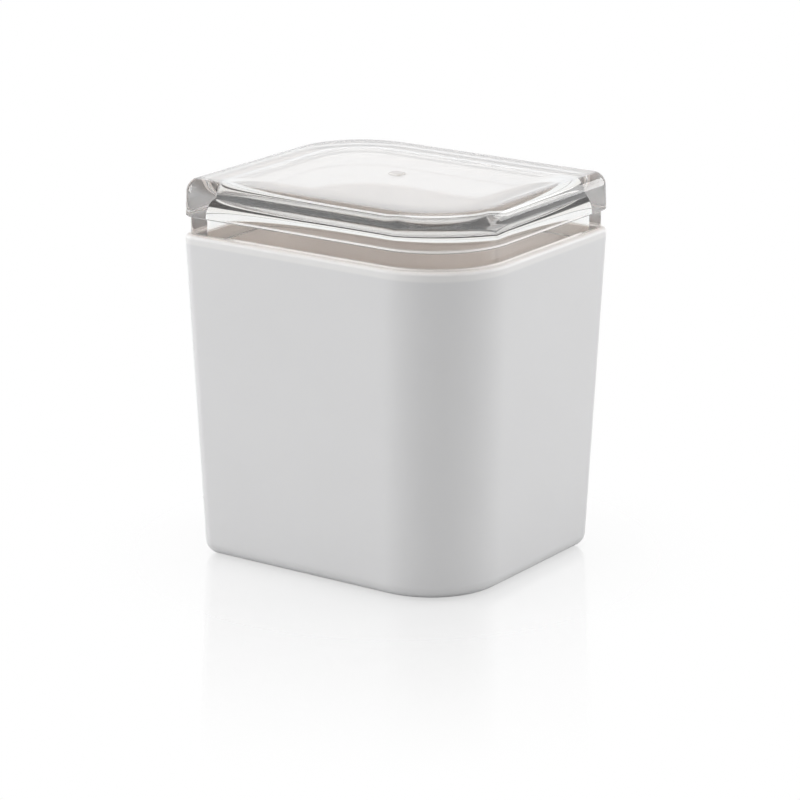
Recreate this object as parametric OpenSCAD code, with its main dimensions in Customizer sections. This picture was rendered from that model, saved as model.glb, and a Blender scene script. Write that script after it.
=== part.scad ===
// Cotton holder: a tapered white cup under a thick clear lid.
// The plan is an oblong with two opposite corners swept round and the other two kept crisp.
// X runs along the wide sides, Y along the narrow ones, Z is up from the foot's underside.

/* [Plan] */
// Width of the cup's rim across X
cup_w = 90; // [75:0.5:110]
// Depth of the cup's rim across Y
cup_d = 75; // [65:0.5:95]
// Radius of the two swept corners at the rim
sweep_r = 23.5; // [14:0.5:28]
// Radius of the two swept corners at the foot
sweep_foot_r = 22; // [14:0.5:28]
// Radius of the two crisp corners
crisp_r = 4; // [3.5:0.25:7]

/* [Cup] */
// Height of the cup from foot to rim
cup_h = 90.75; // [60:0.25:120]
// How far each wall leans in from rim to foot
cup_taper = 3.3; // [0.5:0.1:6]
// Thickness of the cup's wall
cup_wall = 3; // [2.8:0.1:3.6]
// Thickness of the cup's floor above the hollow under it
cup_floor = 3; // [2:0.1:5]
// Rounding of the rim's outer edge
rim_round = 1; // [0.2:0.05:1.2]
// Rounding of the rim's inner edge
mouth_round = 0.4; // [0.2:0.05:0.6]
// Rounding of the cup's lower edge
foot_round = 4; // [1:0.25:5]
// Rounding between the cup's wall and floor inside
floor_round = 6; // [2:0.5:8]
// Width of the ring that the cup stands on
foot_ring = 4; // [2:0.25:8]
// Depth of the hollow under the floor
foot_hollow = 1; // [0.4:0.1:2]

/* [Lid] */
// Height of the neck between the cup's rim and the flange
neck_h = 5; // [3:0.25:8]
// How far the neck stands back from the cup's wall
neck_setback = 1.6; // [1.3:0.1:2]
// How far the flange stands back from the cup's wall
flange_setback = 0.25; // [0:0.05:0.6]
// Height of the flange from its underside to the top
flange_h = 10.5; // [9:0.25:16]
// How far the flange leans in from its lower edge to the top
flange_lean = 0.2; // [0:0.05:0.6]
// Rounding of the flange's lower edge
flange_round = 0.5; // [0.2:0.05:0.6]
// Rounding of the lid's top edge
top_round = 4; // [2:0.25:5]
// Thickness of the lid's top
lid_top = 3.7; // [2:0.1:4.5]
// Rounding under the lid's top, where it meets the wall
ceiling_round = 7; // [1:0.1:7.6]
// Thickness of the skirt that hangs inside the cup's mouth
skirt_wall = 2.8; // [1:0.1:3.2]
// Reach of the skirt below the cup's rim
skirt_drop = 3.5; // [2:0.25:8]
// Clearance between the skirt and the cup's wall
skirt_gap = 0.3; // [0.2:0.05:0.6]
// Rounding of the skirt's lower edges
skirt_round = 0.4; // [0.2:0.05:0.45]
// Diameter of the moulding gate's mark on the lid
gate_d = 4.5; // [2:0.25:8]
// Height of the gate's mark
gate_h = 0.35; // [0.2:0.05:0.8]

/* [Smoothness] */
// Steps round each swept corner
sweep_steps = 18; // [8:1:24]
// Steps round each crisp corner
crisp_steps = 6; // [4:1:10]
// Steps across each rounded edge
edge_steps = 6; // [3:1:8]

/* [Hidden] */
$fn = 64;

// Smallest radius that a corner keeps where its inset is larger than its radius.
min_r = 0.3;

// Heights of the cup's inner floor and of the lid's parts.
floor_z = foot_hollow + cup_floor;
flange_z = cup_h + neck_h;
lid_z = flange_z + flange_h;
ceiling_z = lid_z - lid_top;
skirt_z = cup_h - skirt_drop;

// Insets of the lid's skirt and of the hollow inside it.
skirt_inset = cup_wall + skirt_gap;
cavity_inset = skirt_inset + skirt_wall;

// Share of the cup's height that lies above z, none above the rim.
function below_rim(z) = max(0, cup_h - z) / cup_h;

// How far the cup's outer wall has leaned in at height z.
function lean(z) = cup_taper * below_rim(z);

// Radius of a swept corner of that wall at height z.
function swept_r(z) = sweep_r + (sweep_foot_r - sweep_r) * below_rim(z);

// One level of a loft: the plan's outline at height z, inset evenly from the cup's outer wall.
// Swept corners lie at +X -Y and -X +Y, crisp ones at the other two.
function level(inset, z) = [
    for (corner = [0:3])
        let (
            swept = corner % 2 == 0,
            side_x = corner < 2 ? 1 : -1,
            side_y = (corner == 1 || corner == 2) ? 1 : -1,
            r = max(min_r, (swept ? swept_r(z) : crisp_r) - inset),
            steps = swept ? sweep_steps : crisp_steps,
            x = side_x * (cup_w / 2 - lean(z) - inset - r),
            y = side_y * (cup_d / 2 - lean(z) - inset - r)
        )
        for (i = [0:steps])
            let (a = 90 * (corner - 1) + 90 * i / steps)
            [x + r * cos(a), y + r * sin(a), z]
];

// Quarter arc as a list of [inset, z] pairs, from angle a0 to a1 about a centre.
function arc(inset, z, r, a0, a1) = [
    for (i = [0:edge_steps])
        let (a = a0 + (a1 - a0) * i / edge_steps)
        [inset + r * cos(a), z + r * sin(a)]
];

// Solid whose skin passes through every [inset, z] station in turn and closes flat at both ends.
module loft(stations) {
    levels = [for (s = stations) level(s[0], s[1])];
    n = len(levels[0]);
    m = len(levels);
    points = [for (ring = levels) each ring];
    side = [
        for (k = [0:m - 2], i = [0:n - 1])
            let (j = (i + 1) % n, a = k * n + i, b = k * n + j, c = b + n, d = a + n)
            each [[a, d, c], [a, c, b]]
    ];
    first = [for (i = [0:n - 1]) i];
    last = [for (i = [n - 1:-1:0]) (m - 1) * n + i];
    polyhedron(points = points, faces = concat(side, [first, last]), convexity = 6);
}

module body() {
    color("whitesmoke")
    loft(concat(
        [[foot_round + foot_ring + foot_hollow, foot_hollow], [foot_round + foot_ring, 0]],
        arc(foot_round, foot_round, foot_round, 270, 180),
        arc(rim_round, cup_h - rim_round, rim_round, 180, 90),
        arc(cup_wall - mouth_round, cup_h - mouth_round, mouth_round, 90, 0),
        arc(cup_wall + floor_round, floor_z + floor_round, floor_round, 180, 270)
    ));
}

module lid() {
    color("gainsboro", 0.45)
    union() {
        loft(concat(
            arc(cavity_inset + ceiling_round, ceiling_z - ceiling_round, ceiling_round, 90, 180),
            arc(cavity_inset - skirt_round, skirt_z + skirt_round, skirt_round, 0, -90),
            arc(skirt_inset + skirt_round, skirt_z + skirt_round, skirt_round, 270, 180),
            [[skirt_inset, cup_h], [neck_setback, cup_h], [neck_setback, flange_z]],
            arc(flange_setback + flange_round, flange_z + flange_round, flange_round, 270, 180),
            arc(flange_setback + flange_lean + top_round, lid_z - top_round, top_round, 180, 90)
        ));
        translate([0, 0, lid_z - gate_h])
            cylinder(d = gate_d, h = 2 * gate_h);
    }
}

body();
lid();
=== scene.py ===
"""Cotton holder: a tapered white cup with two swept corners, under a thick clear lid."""

import math

import bpy
from bpy.props import FloatProperty, FloatVectorProperty, IntProperty, PointerProperty
from bpy.types import Operator, Panel, PropertyGroup
from mathutils import Matrix, Vector


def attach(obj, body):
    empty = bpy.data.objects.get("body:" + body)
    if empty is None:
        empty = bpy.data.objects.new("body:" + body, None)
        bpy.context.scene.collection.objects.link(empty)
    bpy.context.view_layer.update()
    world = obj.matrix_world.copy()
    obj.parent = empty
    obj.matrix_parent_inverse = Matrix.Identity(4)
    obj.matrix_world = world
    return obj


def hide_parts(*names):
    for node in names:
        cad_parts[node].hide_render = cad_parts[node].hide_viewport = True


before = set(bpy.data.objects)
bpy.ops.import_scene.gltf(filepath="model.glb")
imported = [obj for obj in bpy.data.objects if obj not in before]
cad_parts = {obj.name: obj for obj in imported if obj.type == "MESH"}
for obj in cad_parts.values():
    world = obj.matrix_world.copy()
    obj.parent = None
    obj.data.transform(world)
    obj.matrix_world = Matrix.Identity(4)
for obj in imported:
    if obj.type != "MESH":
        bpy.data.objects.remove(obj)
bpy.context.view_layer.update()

bl_info = {
    "name": "Cotton Holder",
    "version": (1, 0, 0),
    "blender": (4, 5, 0),
    "location": "3D View > Sidebar > Cotton Holder",
    "description": "Builds a cotton holder with a clear lid, its materials and its studio",
    "category": "Object",
}

IMAGE_SIDE = 800
SENSOR_WIDTH = 36.0
MM = 0.001
WHITE = (1.0, 1.0, 1.0)

# Smallest radius that a corner keeps where its inset is larger than its radius.
MIN_RADIUS = 0.3 * MM

# Height of a painted highlight line along a lid edge, and the heights over which its lower and upper edges
# blur.
LINE_HEIGHT = 0.6 * MM
LINE_FOOT = 0.1 * MM
LINE_HEAD = 0.2 * MM

# Share of the flange's rounding that lies below its painted highlight line.
LINE_START = 0.4

# Distances of a surface's plane from the origin between which it counts as facing outwards.
OUTWARD_FADE = (0.0, 10 * MM)

# X times Y, in square metres, over which the painted highlight lines fade out towards a crisp corner.
CRISP_FADE = (0.0009, 0.0012)

# Depths below the cup's rim between which its painted light, a lighter tint that stands in for light on the
# rim, fades in.
RIM_LIGHT_FADE = (2.8 * MM, 2.0 * MM)

# Noise between which the cup's tint darkens, and how dark it gets as a share of the tint.
FLOW_FADE = (0.3, 0.7)
FLOW_SHADE = 0.985

# How far the cup's roughness varies from place to place.
WEAR = 0.08

# Noise between which rougher specks show in the lid, their roughness and that of the rest.
SPECK_FADE = (0.62, 0.9)
SPECK_ROUGHNESS = 0.03
CLEAR_ROUGHNESS = 0.004

# Cosines of a surface's tilt between which the lid's satin top fades in.
TOP_FADE = (0.85, 0.98)

# Shares of the gate mark's diameter between which its tint fades out.
GATE_FADE = (0.4, 0.6)

# Turns of a ray inside the clear wall between which haze takes over.
HAZE_TURNS = (0.5, 1.5)

# Each lamp's name, its width and height in metres, and its turn from +X and its rise in degrees.
LAMPS = (
    ("key", (0.7, 1.0), -150, 12),
    ("fill", (0.7, 1.0), 50, 12),
    ("overhead", (1.0, 1.0), -55, 89),
)
LAMP_REACH = 1.35
LAMP_AIM_HEIGHT = 0.05

# Cosines of the turn from the camera's side between which the room's near side fades in.
NEAR_FADE = (0.0, 0.7)

# Half the blur of the backdrop's upper edge, as a sine of its elevation.
BACKDROP_BLUR = 0.03

# Half the floor's width, and the distances from the axis between which its gloss and shadow fade.
FLOOR_HALF = 3.0
GLOSS_FADE = (0.04, 0.17)
SHADOW_FADE = (0.045, 0.1)


def length(name, description, default, low=0.0):
    """A length in metres, given in millimetres, as a property that a user can change."""
    return FloatProperty(
        name=name, description=description, default=default * MM, min=low,
        unit="LENGTH", subtype="DISTANCE", precision=5,
    )


def degrees(name, description, default):
    """An angle, given in degrees, as a property that a user can change."""
    return FloatProperty(
        name=name, description=description, default=math.radians(default), subtype="ANGLE")


def colour(name, description, default):
    """A colour as a property that a user can change."""
    return FloatVectorProperty(
        name=name, description=description, default=default, min=0.0, max=1.0,
        size=3, subtype="COLOR",
    )


def level_of(name, description, default, high=10.0):
    """A plain factor as a property that a user can change."""
    return FloatProperty(name=name, description=description, default=default, min=0.0, max=high)


class CottonHolderPlan(PropertyGroup):
    """Sizes of the plan that the cup and the lid share."""

    width: length("Width", "Width of the cup's rim across X", 90.0)
    depth: length("Depth", "Depth of the cup's rim across Y", 75.0)
    sweep: length("Swept corner", "Radius of the two swept corners at the rim", 23.5)
    sweep_foot: length("Swept corner at the foot", "Radius of the two swept corners at the foot", 22.0)
    crisp: length("Crisp corner", "Radius of the two crisp corners", 4.0)
    height: length("Cup height", "Height of the cup from foot to rim", 90.75)
    taper: length("Taper", "How far each wall leans in from rim to foot", 3.3)
    wall: length("Wall", "Thickness of the cup's wall", 3.0)
    sweep_steps: IntProperty(
        name="Swept corner steps", description="Faces round a swept corner", default=48, min=8)
    crisp_steps: IntProperty(
        name="Crisp corner steps", description="Faces round a crisp corner", default=16, min=4)
    edge_steps: IntProperty(
        name="Edge steps", description="Faces across a rounded edge", default=12, min=3)


class CottonHolderCup(PropertyGroup):
    """Sizes and colour of the white cup."""

    floor: length("Floor", "Thickness of the floor", 3.0)
    rim_round: length("Rim rounding", "Rounding of the rim's outer edge", 1.0)
    mouth_round: length("Mouth rounding", "Rounding of the rim's inner edge", 0.4)
    foot_round: length("Foot rounding", "Rounding of the cup's lower edge", 4.0)
    floor_round: length("Floor rounding", "Rounding between the wall and the floor inside", 6.0)
    foot_ring: length("Foot ring", "Width of the ring that the cup stands on", 4.0)
    foot_hollow: length("Foot hollow", "Depth of the hollow under the floor", 1.0)
    tint: colour("Tint", "Colour of the moulded plastic", (0.76, 0.76, 0.765))
    # Painted light: the lighter rim colour stands in for light that falls on the rim's edge.
    rim_painted_light: colour("Rim painted light", "Colour along the thin rim", (0.84, 0.835, 0.83))
    roughness: level_of("Roughness", "Roughness of the satin surface", 0.42, 1.0)


class CottonHolderLid(PropertyGroup):
    """Sizes and colour of the clear lid."""

    neck: length("Neck height", "Height of the neck between rim and flange", 5.0)
    neck_setback: length("Neck setback", "How far the neck stands back from the cup's wall", 1.6)
    flange_setback: length("Flange setback", "How far the flange stands back from the wall", 0.25)
    flange: length("Flange height", "Height of the flange from its underside to the top", 10.5)
    flange_lean: length("Flange lean", "How far the flange leans in towards its top", 0.2)
    flange_round: length("Flange rounding", "Rounding of the flange's lower edge", 0.5)
    top_round: length("Top rounding", "Rounding of the lid's top edge", 4.0)
    top: length("Top", "Thickness of the lid's top", 3.7)
    ceiling_round: length("Ceiling rounding", "Rounding under the top, at the wall", 7.0)
    skirt_wall: length("Skirt", "Thickness of the skirt inside the mouth", 2.8)
    skirt_drop: length("Skirt drop", "Reach of the skirt below the rim", 3.5)
    skirt_gap: length("Skirt clearance", "Clearance between the skirt and the wall", 0.3)
    skirt_round: length("Skirt rounding", "Rounding of the skirt's lower edges", 0.4)
    air: length("Air", "Hair of air that keeps the lid's ledge optically clear of the rim", 0.03)
    gate: length("Gate mark", "Diameter of the moulding gate's mark", 4.5)
    gate_rise: length("Gate mark height", "Height of the gate's mark", 0.35)
    tint: colour("Tint", "Colour of the clear plastic", (0.985, 0.99, 0.988))
    index: level_of("Refraction", "Index of refraction of the clear plastic", 1.5, 3.0)
    veil: level_of("Veil", "Share of light that the satin top scatters", 0.4, 1.0)
    veil_tint: colour("Veil tint", "Colour of the light that the satin top scatters", (0.86, 0.88, 0.9))
    gate_tint: colour("Gate mark tint", "Colour of that light at the gate's mark", (0.6, 0.6, 0.6))
    # Painted highlight: white lines along the outside of the neck's and the flange's lower edges stand in for
    # light caught along those edges.
    painted_highlight: level_of("Painted highlights", "Share of light that the painted highlight lines scatter", 0.9, 1.0)
    painted_highlight_tint: colour("Painted highlight tint", "Colour of the painted highlight lines", (1.0, 0.98, 0.96))
    haze: colour("Haze", "Colour of light that has turned inside the wall", (0.97, 0.985, 1.0))


class CottonHolderStage(PropertyGroup):
    """Camera, lamps and floor of the studio."""

    azimuth: degrees("Azimuth", "Camera's turn about the object", 34.59)
    elevation: degrees("Elevation", "Camera's height above the floor as an angle", 16.53)
    roll: degrees("Roll", "Camera's roll about its own axis", 0.15)
    distance: length("Distance", "Camera's distance from the point that it looks at", 953.8)
    aim_side: length("Aim sideways", "How far the aim lies to the right of the axis", 0.95)
    aim_height: length("Aim height", "Height of the point that the camera looks at", 42.95)
    focal_pixels: FloatProperty(
        name="Focal length in pixels", description="Focal length for an 800 pixel wide image",
        default=3488.2, min=100.0)
    key: level_of("Key", "Brightness of the lamp on the left", 4.8)
    fill: level_of("Fill", "Brightness of the lamp on the right", 4.0)
    overhead: level_of("Overhead", "Brightness of the lamp overhead", 3.0)
    room: level_of("Room", "Brightness of the light from all round", 0.46)
    edge: degrees("Backdrop edge", "Elevation of the backdrop's upper edge", 14.5)
    backdrop: colour("Backdrop", "Colour of the backdrop behind the object", (1.0, 0.98, 0.96))
    ceiling: colour("Ceiling", "Colour of the room above the backdrop", (0.02, 0.019, 0.018))
    dark: colour("Dark side", "Colour of the room behind the camera", (0.2, 0.18, 0.165))
    inside: colour("Light inside", "Colour of the light that falls into the cup", (1.0, 0.82, 0.7))
    sky: level_of("Light inside strength", "Brightness of that light from the far side", 1.9)
    near_sky: level_of("Light inside, near side", "Share of it that the camera's side gives", 0.75, 1.0)
    paint: colour("Floor paint", "Colour of the floor in the object's shadow", (0.9, 0.9, 0.9))
    bounce: colour("Floor bounce", "Colour of the floor as it lights the object", (0.7, 0.7, 0.7))
    mirror: level_of("Floor gloss", "Share of the object's mirror image near its foot", 0.25, 1.0)
    shadow: level_of("Floor shadow", "Share of the floor's own paint round the foot", 0.2, 1.0)


class Value:
    """A shader value. Arithmetic on it adds Math nodes."""

    def __init__(self, tree, socket):
        self.tree = tree
        self.socket = socket

    def math(self, operation, *operands):
        """The result of one Math node on these operands."""
        node = self.tree.add("ShaderNodeMath", {"operation": operation}, dict(enumerate(operands)))
        return Value(self.tree, node.outputs[0])

    def __add__(self, other):
        return self.math("ADD", self, other)

    def __sub__(self, other):
        return self.math("SUBTRACT", self, other)

    def __rsub__(self, other):
        return self.math("SUBTRACT", other, self)

    def __mul__(self, other):
        return self.math("MULTIPLY", self, other)

    def above(self, limit):
        """1 where the value is above this limit, else 0."""
        return self.math("GREATER_THAN", self, limit)

    def largest(self, other):
        """The larger of this value and another."""
        return self.math("MAXIMUM", self, other)

    def step(self, low, high):
        """A smooth step from 0 at low to 1 at high."""
        settings = {"interpolation_type": "SMOOTHSTEP"}
        sockets = {"Value": self, "From Min": low, "From Max": high}
        node = self.tree.add("ShaderNodeMapRange", settings, sockets)
        return Value(self.tree, node.outputs["Result"])


class Tree:
    """The nodes of one material or world."""

    def __init__(self, owner):
        owner.use_nodes = True
        self.nodes = owner.node_tree.nodes
        self.links = owner.node_tree.links
        self.nodes.clear()

    def add(self, kind, settings=None, inputs=None):
        """A node of this kind, with its settings made first and then its sockets."""
        node = self.nodes.new(kind)
        for name, value in (settings or {}).items():
            setattr(node, name, value)
        for name, value in (inputs or {}).items():
            source = value.socket if isinstance(value, Value) else value
            if isinstance(source, bpy.types.NodeSocket):
                self.links.new(source, node.inputs[name])
            else:
                node.inputs[name].default_value = source
        return node

    def value(self, node, output=0):
        """A node's output as a value."""
        return Value(self, node.outputs[output])

    def part(self, vector, axis):
        """One component of a vector."""
        return self.value(self.add("ShaderNodeSeparateXYZ", None, {0: vector}), axis)

    def dot(self, first, second):
        """The dot product of two vectors."""
        sockets = {0: first, 1: second}
        return self.value(self.add("ShaderNodeVectorMath", {"operation": "DOT_PRODUCT"}, sockets), "Value")

    def off_axis(self, where):
        """How far a point lies from the upright axis."""
        sockets = {0: where, 1: (1.0, 1.0, 0.0)}
        flat = self.add("ShaderNodeVectorMath", {"operation": "MULTIPLY"}, sockets).outputs[0]
        return self.value(self.add("ShaderNodeVectorMath", {"operation": "LENGTH"}, {0: flat}), "Value")

    def noise(self, where, scale, detail, roughness):
        """Noise from 0 to 1 over the object's own coordinates."""
        sockets = {"Vector": where, "Scale": scale, "Detail": detail, "Roughness": roughness}
        return self.value(self.add("ShaderNodeTexNoise", None, sockets), "Fac")

    def mix_colour(self, factor, first, second):
        """A colour between two others. The Mix node's colour sockets go by number."""
        node = self.add("ShaderNodeMix", {"data_type": "RGBA"}, {0: factor, 6: first, 7: second})
        return node.outputs[2]

    def mix_shader(self, factor, first, second):
        """A shader between two others."""
        sockets = {0: factor, 1: first.outputs[0], 2: second.outputs[0]}
        return self.add("ShaderNodeMixShader", None, sockets)

    def bump(self, height, strength, distance):
        """A normal that follows this height."""
        sockets = {"Height": height, "Strength": strength, "Distance": distance}
        return self.add("ShaderNodeBump", None, sockets).outputs["Normal"]

    def principled(self, sockets):
        """A Principled shader with these values or links in its sockets."""
        return self.add("ShaderNodeBsdfPrincipled", None, sockets)

    def show(self, surface, output="ShaderNodeOutputMaterial"):
        """Shows this shader as the result of the nodes."""
        self.add(output, None, {"Surface": surface.outputs[0]})


def rgba(tint):
    """A colour with full alpha."""
    return (*tint, 1.0)


def white_plastic(sizes, cup):
    """Opaque moulded plastic with a fine satin grain, and painted light along its thin rim: a lighter tint
    there stands in for light on the rim.
    """
    material = bpy.data.materials.new("white_plastic")
    tree = Tree(material)
    where = tree.add("ShaderNodeTexCoord").outputs["Object"]
    grain = tree.noise(where, scale=5200.0, detail=2.0, roughness=0.6)
    flow = tree.noise(where, scale=26.0, detail=3.0, roughness=0.5)
    wear = tree.noise(where, scale=240.0, detail=4.0, roughness=0.6)
    shade = tuple(part * FLOW_SHADE for part in cup.tint)
    wall = tree.mix_colour(flow.step(*FLOW_FADE), rgba(cup.tint), rgba(shade))
    # Painted light: the tint lightens towards the rim, standing in for light that falls on the rim's edge.
    rim = tree.part(where, "Z").step(*(sizes.height - depth for depth in RIM_LIGHT_FADE))
    tree.show(tree.principled({
        "Base Color": tree.mix_colour(rim, wall, rgba(cup.rim_painted_light)),
        "Roughness": wear * WEAR + (cup.roughness - WEAR / 2),
        "IOR": 1.5,
        "Normal": tree.bump(grain + flow * 2.0, strength=0.12, distance=0.04 * MM),
    }))
    return material


def clear_plastic(sizes, lid):
    """Clear plastic with a satin top, painted highlights as white lines along its lower edges, and haze where
    light turns inside its wall.
    """
    material = bpy.data.materials.new("clear_plastic")
    tree = Tree(material)
    coords = tree.add("ShaderNodeTexCoord")
    where, normal = coords.outputs["Object"], coords.outputs["Normal"]
    flow = tree.noise(where, scale=45.0, detail=2.0, roughness=0.5)
    grain = tree.noise(where, scale=900.0, detail=3.0, roughness=0.6)
    clear = tree.principled({
        "Base Color": rgba(lid.tint),
        "Roughness": grain.step(*SPECK_FADE) * SPECK_ROUGHNESS + CLEAR_ROUGHNESS,
        "IOR": lid.index,
        "Transmission Weight": 1.0,
        "Normal": tree.bump(flow, strength=0.05, distance=0.2 * MM),
    })
    gate = 1 - tree.off_axis(where).step(*(lid.gate * share for share in GATE_FADE))
    satin = tree.principled({
        "Base Color": tree.mix_colour(gate, rgba(lid.veil_tint), rgba(lid.gate_tint)),
        "Roughness": 0.5,
    })
    surface = tree.mix_shader(tree.part(normal, "Z").step(*TOP_FADE) * lid.veil, clear, satin)
    haze = tree.principled({
        "Base Color": rgba(lid.haze), "Roughness": 0.6, "IOR": lid.index, "Transmission Weight": 1.0,
    })
    turns = tree.value(tree.add("ShaderNodeLightPath"), "Glossy Depth")
    surface = tree.mix_shader(turns.step(*HAZE_TURNS), surface, haze)
    # Painted highlight: a pale opaque shader laid as thin lines along the neck's and the flange's lower
    # edges, standing in for light caught there.
    line = tree.principled({
        "Base Color": rgba(lid.painted_highlight_tint), "Roughness": 0.5, "Specular IOR Level": 1.0,
    })
    lines = painted_edge_highlights(tree, where, normal, sizes, lid)
    tree.show(tree.mix_shader(lines * lid.painted_highlight, surface, line))
    return material


def painted_edge_highlights(tree, where, normal, sizes, lid):
    """Painted highlights: 1 on the outside of the neck's and the flange's lower edges, fading towards the
    crisp corners.
    """
    height = tree.part(where, "Z")
    seen = 1 - tree.value(tree.add("ShaderNodeNewGeometry"), "Backfacing")
    outside = seen * tree.dot(normal, where).step(*OUTWARD_FADE)
    crisp = (tree.part(where, "X") * tree.part(where, "Y")).step(*CRISP_FADE)
    neck, flange = (
        height.step(low, low + LINE_FOOT) - height.step(low + LINE_HEIGHT, low + LINE_HEIGHT + LINE_HEAD)
        for low in (sizes.height, sizes.height + lid.neck + lid.flange_round * LINE_START)
    )
    return (neck + flange) * outside * (1 - crisp)


class Plan:
    """The shared outline: a swept corner at +X -Y and -X +Y and a crisp one at the other two."""

    def __init__(self, sizes):
        self.sizes = sizes

    def below_rim(self, z):
        """Share of the cup's height that lies above z, none above the rim."""
        return max(0.0, self.sizes.height - z) / self.sizes.height

    def level(self, inset, z):
        """The outline at height z, inset evenly from the cup's outer wall."""
        sizes = self.sizes
        lean = sizes.taper * self.below_rim(z)
        swept = sizes.sweep + (sizes.sweep_foot - sizes.sweep) * self.below_rim(z)
        points = []
        for corner, (side_x, side_y) in enumerate(((1, -1), (1, 1), (-1, 1), (-1, -1))):
            is_swept = corner % 2 == 0
            radius = max(MIN_RADIUS, (swept if is_swept else sizes.crisp) - inset)
            steps = sizes.sweep_steps if is_swept else sizes.crisp_steps
            x = side_x * (sizes.width / 2 - lean - inset - radius)
            y = side_y * (sizes.depth / 2 - lean - inset - radius)
            for step in range(steps + 1):
                angle = math.radians(90 * (corner - 1) + 90 * step / steps)
                points.append((x + radius * math.cos(angle), y + radius * math.sin(angle), z))
        return points

    def arc(self, inset, z, radius, start, end):
        """A quarter arc of inset and height pairs about a centre."""
        steps = self.sizes.edge_steps
        angles = [math.radians(start + (end - start) * step / steps) for step in range(steps + 1)]
        return [(inset + radius * math.cos(a), z + radius * math.sin(a)) for a in angles]


def loft(name, rings, hard=()):
    """A closed skin through every ring in turn, with hard edges round the rings that hard lists."""
    count = len(rings[0])
    points = [point for ring in rings for point in ring]
    faces = [tuple(reversed(range(count))), tuple(range(len(points) - count, len(points)))]
    for first in range(0, len(points) - count, count):
        for i in range(count):
            j = (i + 1) % count
            faces.append((first + i, first + j, first + count + j, first + count + i))
    mesh = bpy.data.meshes.new(name)
    mesh.from_pydata(points, [], faces)
    mesh.shade_smooth()
    for edge in mesh.edges:
        one, other = (vertex // count for vertex in edge.vertices)
        edge.use_edge_sharp = one == other and one in hard
    mesh.update()
    piece = bpy.data.objects.new(name, mesh)
    bpy.context.scene.collection.objects.link(piece)
    normals = piece.modifiers.new("Flat faces", "WEIGHTED_NORMAL")
    normals.keep_sharp = True
    return piece


def disc(outline, radius, z):
    """A circle at height z with a point towards each point of the outline."""
    angles = [math.atan2(y, x) for x, y, _ in outline]
    return [(radius * math.cos(angle), radius * math.sin(angle), z) for angle in angles]


class COTTON_OT_cup(Operator):
    """Builds the white cup"""

    bl_idname = "cotton_holder.cup"
    bl_label = "Build Cup"

    def execute(self, context):
        sizes = context.scene.cotton_holder_plan
        cup = context.scene.cotton_holder_cup
        plan = Plan(sizes)
        ring = cup.foot_round + cup.foot_ring
        floor = cup.foot_hollow + cup.floor
        rim = sizes.height
        stations = [
            (ring + cup.foot_hollow, cup.foot_hollow), (ring, 0.0),
            *plan.arc(cup.foot_round, cup.foot_round, cup.foot_round, 270, 180),
            *plan.arc(cup.rim_round, rim - cup.rim_round, cup.rim_round, 180, 90),
            *plan.arc(sizes.wall - cup.mouth_round, rim - cup.mouth_round, cup.mouth_round, 90, 0),
            *plan.arc(sizes.wall + cup.floor_round, floor + cup.floor_round, cup.floor_round, 180, 270),
        ]
        piece = loft("white_cup", [plan.level(*station) for station in stations], (0, 1))
        piece.data.materials.append(white_plastic(sizes, cup))
        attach(piece, "root")
        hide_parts("body")
        return {"FINISHED"}


class COTTON_OT_lid(Operator):
    """Builds the clear lid"""

    bl_idname = "cotton_holder.lid"
    bl_label = "Build Lid"

    def execute(self, context):
        sizes = context.scene.cotton_holder_plan
        lid = context.scene.cotton_holder_lid
        plan = Plan(sizes)
        rim = sizes.height
        flange = rim + lid.neck
        top = flange + lid.flange
        ceiling = top - lid.top
        skirt = rim - lid.skirt_drop
        skirt_inset = sizes.wall + lid.skirt_gap
        cavity = skirt_inset + lid.skirt_wall
        edge = lid.flange_setback + lid.flange_lean
        ledge = rim + lid.air
        steps = [(skirt_inset, ledge), (lid.neck_setback, ledge), (lid.neck_setback, flange)]
        stations = [
            *plan.arc(cavity + lid.ceiling_round, ceiling - lid.ceiling_round, lid.ceiling_round, 90, 180),
            *plan.arc(cavity - lid.skirt_round, skirt + lid.skirt_round, lid.skirt_round, 0, -90),
            *plan.arc(skirt_inset + lid.skirt_round, skirt + lid.skirt_round, lid.skirt_round, 270, 180),
            *steps,
            *plan.arc(
                lid.flange_setback + lid.flange_round, flange + lid.flange_round, lid.flange_round, 270, 180),
            *plan.arc(edge + lid.top_round, top - lid.top_round, lid.top_round, 180, 90),
        ]
        rings = [plan.level(*station) for station in stations]
        hard = [stations.index(step) for step in steps]
        # The gate's mark is a low round step in the middle of the top.
        for rise in (0.0, lid.gate_rise):
            hard.append(len(rings))
            rings.append(disc(rings[-1], lid.gate / 2, top + rise))
        piece = loft("clear_lid", rings, hard)
        piece.data.materials.append(clear_plastic(sizes, lid))
        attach(piece, "root")
        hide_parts("lid")
        return {"FINISHED"}


class COTTON_OT_stage(Operator):
    """Builds the floor, the room, the lamps and the camera"""

    bl_idname = "cotton_holder.stage"
    bl_label = "Build Stage"

    def execute(self, context):
        stage = context.scene.cotton_holder_stage
        place_camera(stage)
        light_room(stage)
        for name, size, turn, rise in LAMPS:
            lamp(name, getattr(stage, name), size, turn, rise)
        lay_floor(stage)
        context.scene.view_settings.view_transform = "Standard"
        return {"FINISHED"}


def camera_side(stage):
    """The level direction from the object towards the camera."""
    return Vector((math.sin(stage.azimuth), -math.cos(stage.azimuth), 0.0))


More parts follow.
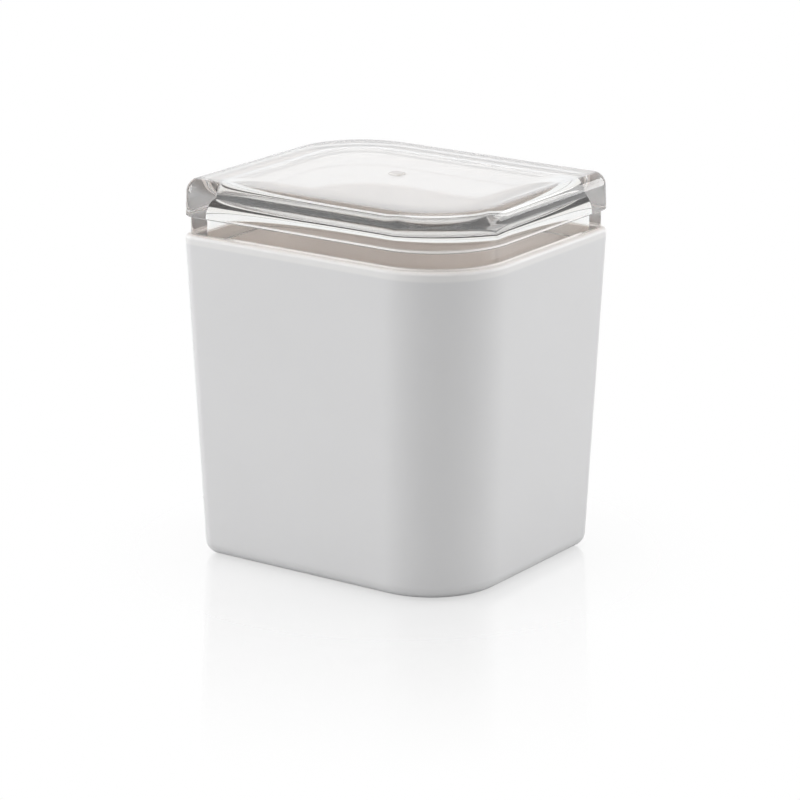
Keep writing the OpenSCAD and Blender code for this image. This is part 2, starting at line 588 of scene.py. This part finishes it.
def place_camera(stage):
    """The camera at the photograph's angle."""
    rise = Vector((0.0, 0.0, math.sin(stage.elevation)))
    back = camera_side(stage) * math.cos(stage.elevation) + rise
    across = Vector((math.cos(stage.azimuth), math.sin(stage.azimuth), 0.0))
    upward = back.cross(across)
    aim = across * stage.aim_side + Vector((0.0, 0.0, stage.aim_height))
    right = across * math.cos(stage.roll) + upward * math.sin(stage.roll)
    turn = Matrix((right, back.cross(right), back)).transposed().to_4x4()
    data = bpy.data.cameras.new("camera")
    data.sensor_width = SENSOR_WIDTH
    data.lens = stage.focal_pixels * SENSOR_WIDTH / IMAGE_SIDE
    data.clip_start = 0.01
    camera = bpy.data.objects.new("camera", data)
    camera.matrix_world = Matrix.Translation(aim + back * stage.distance) @ turn
    bpy.context.scene.collection.objects.link(camera)
    bpy.context.scene.camera = camera


def lamp(name, brightness, size, turn, rise):
    """A soft rectangular lamp of this brightness, turned from +X and raised by these degrees."""
    data = bpy.data.lights.new(name, "AREA")
    data.shape = "RECTANGLE"
    data.size, data.size_y = size
    data.energy = brightness * math.pi * data.size * data.size_y
    turn, rise = math.radians(turn), math.radians(rise)
    back = Vector((math.cos(turn) * math.cos(rise), math.sin(turn) * math.cos(rise), math.sin(rise)))
    light = bpy.data.objects.new(name, data)
    light.location = back * LAMP_REACH + Vector((0.0, 0.0, LAMP_AIM_HEIGHT))
    light.rotation_euler = back.to_track_quat("Z", "Y").to_euler()
    light.visible_transmission = False
    bpy.context.scene.collection.objects.link(light)


def light_room(stage):
    """The room: white to the camera, and a backdrop, a dim ceiling and a dim near side through the lid."""
    world = bpy.data.worlds.new("studio")
    tree = Tree(world)

    def glow(tint, strength=1.0):
        """Light of this colour from all round."""
        return tree.add("ShaderNodeBackground", None, {"Color": rgba(tint), "Strength": strength})

    ray = tree.add("ShaderNodeLightPath")
    where = tree.add("ShaderNodeTexCoord").outputs["Generated"]
    near_side = tree.dot(where, camera_side(stage)).step(*NEAR_FADE)
    edge = math.sin(stage.edge)
    above = tree.part(where, "Z").step(edge - BACKDROP_BLUR, edge + BACKDROP_BLUR)
    white = glow(WHITE)
    dark = glow(stage.dark)
    room = glow(WHITE, stage.room)
    clear = tree.mix_shader(above, glow(stage.backdrop), glow(stage.ceiling))
    clear = tree.mix_shader(near_side, clear, dark)
    far_inside = glow(stage.inside, stage.sky)
    near_inside = glow(stage.inside, stage.sky * stage.near_sky)
    inside = tree.mix_shader(near_side, far_inside, near_inside)
    clear = tree.mix_shader(tree.value(ray, "Diffuse Depth").above(0.5), clear, inside)
    mirrored = tree.mix_shader(near_side, white, dark)
    surface = tree.mix_shader(tree.value(ray, "Is Glossy Ray"), room, mirrored)
    surface = tree.mix_shader(tree.value(ray, "Is Transmission Ray"), surface, clear)
    surface = tree.mix_shader(tree.value(ray, "Is Diffuse Ray"), surface, room)
    surface = tree.mix_shader(tree.value(ray, "Is Camera Ray"), surface, white)
    tree.show(surface, "ShaderNodeOutputWorld")
    bpy.context.scene.world = world


def lay_floor(stage):
    """A pale glossy floor that fades to the white background away from the object."""
    mesh = bpy.data.meshes.new("floor")
    corners = [(x * FLOOR_HALF, y * FLOOR_HALF, 0.0) for x, y in ((-1, -1), (1, -1), (1, 1), (-1, 1))]
    mesh.from_pydata(corners, [], [(0, 1, 2, 3)])
    mesh.materials.append(floor_white(stage))
    floor = bpy.data.objects.new("floor", mesh)
    bpy.context.scene.collection.objects.link(floor)


def floor_white(stage):
    """White paint that mirrors the foot. It shows as plain white except in the object's shadow."""
    material = bpy.data.materials.new("floor_white")
    tree = Tree(material)
    ray = tree.add("ShaderNodeLightPath")
    away = tree.off_axis(tree.add("ShaderNodeTexCoord").outputs["Object"])
    near = 1 - away.step(*GLOSS_FADE)
    close = 1 - away.step(*SHADOW_FADE)
    paint = tree.add("ShaderNodeBsdfDiffuse", None, {"Color": rgba(stage.paint)})
    bounce = tree.add("ShaderNodeBsdfDiffuse", None, {"Color": rgba(stage.bounce)})
    glow = tree.add("ShaderNodeEmission", None, {"Color": rgba(WHITE), "Strength": 1.0})
    gloss = tree.add("ShaderNodeBsdfGlossy", None, {"Color": rgba(WHITE), "Roughness": 0.08})
    seen = tree.value(ray, "Is Camera Ray")
    shown = seen.largest(tree.value(ray, "Is Transmission Ray"))
    paint = tree.mix_shader(seen, bounce, paint)
    pale = tree.mix_shader(shown * (1 - close * stage.shadow), paint, glow)
    tree.show(tree.mix_shader(seen * near * stage.mirror, pale, gloss))
    return material


class COTTON_PT_panel(Panel):
    """Sizes, colours and build buttons of the cotton holder"""

    bl_label = "Cotton Holder"
    bl_idname = "COTTON_PT_panel"
    bl_space_type = "VIEW_3D"
    bl_region_type = "UI"
    bl_category = "Cotton Holder"

    def draw(self, context):
        scene = context.scene
        for group, build in GROUPS:
            box = self.layout.box()
            values = getattr(scene, group)
            for name in values.__annotations__:
                box.prop(values, name)
            if build:
                box.operator(build)


GROUPS = (
    ("cotton_holder_plan", None),
    ("cotton_holder_cup", "cotton_holder.cup"),
    ("cotton_holder_lid", "cotton_holder.lid"),
    ("cotton_holder_stage", "cotton_holder.stage"),
)
CLASSES = (
    CottonHolderPlan, CottonHolderCup, CottonHolderLid, CottonHolderStage,
    COTTON_OT_cup, COTTON_OT_lid, COTTON_OT_stage, COTTON_PT_panel,
)


def register():
    """Adds the classes and the scene's properties."""
    for entry in CLASSES:
        bpy.utils.register_class(entry)
    bpy.types.Scene.cotton_holder_plan = PointerProperty(type=CottonHolderPlan)
    bpy.types.Scene.cotton_holder_cup = PointerProperty(type=CottonHolderCup)
    bpy.types.Scene.cotton_holder_lid = PointerProperty(type=CottonHolderLid)
    bpy.types.Scene.cotton_holder_stage = PointerProperty(type=CottonHolderStage)


def unregister():
    """Removes the scene's properties and the classes."""
    for group, _ in GROUPS:
        delattr(bpy.types.Scene, group)
    for entry in reversed(CLASSES):
        bpy.utils.unregister_class(entry)


def main():
    """Builds the pieces and the stage."""
    register()
    for _, build in GROUPS:
        if build:
            category, name = build.split(".")
            getattr(getattr(bpy.ops, category), name)()


if __name__ == "__main__":
    main()
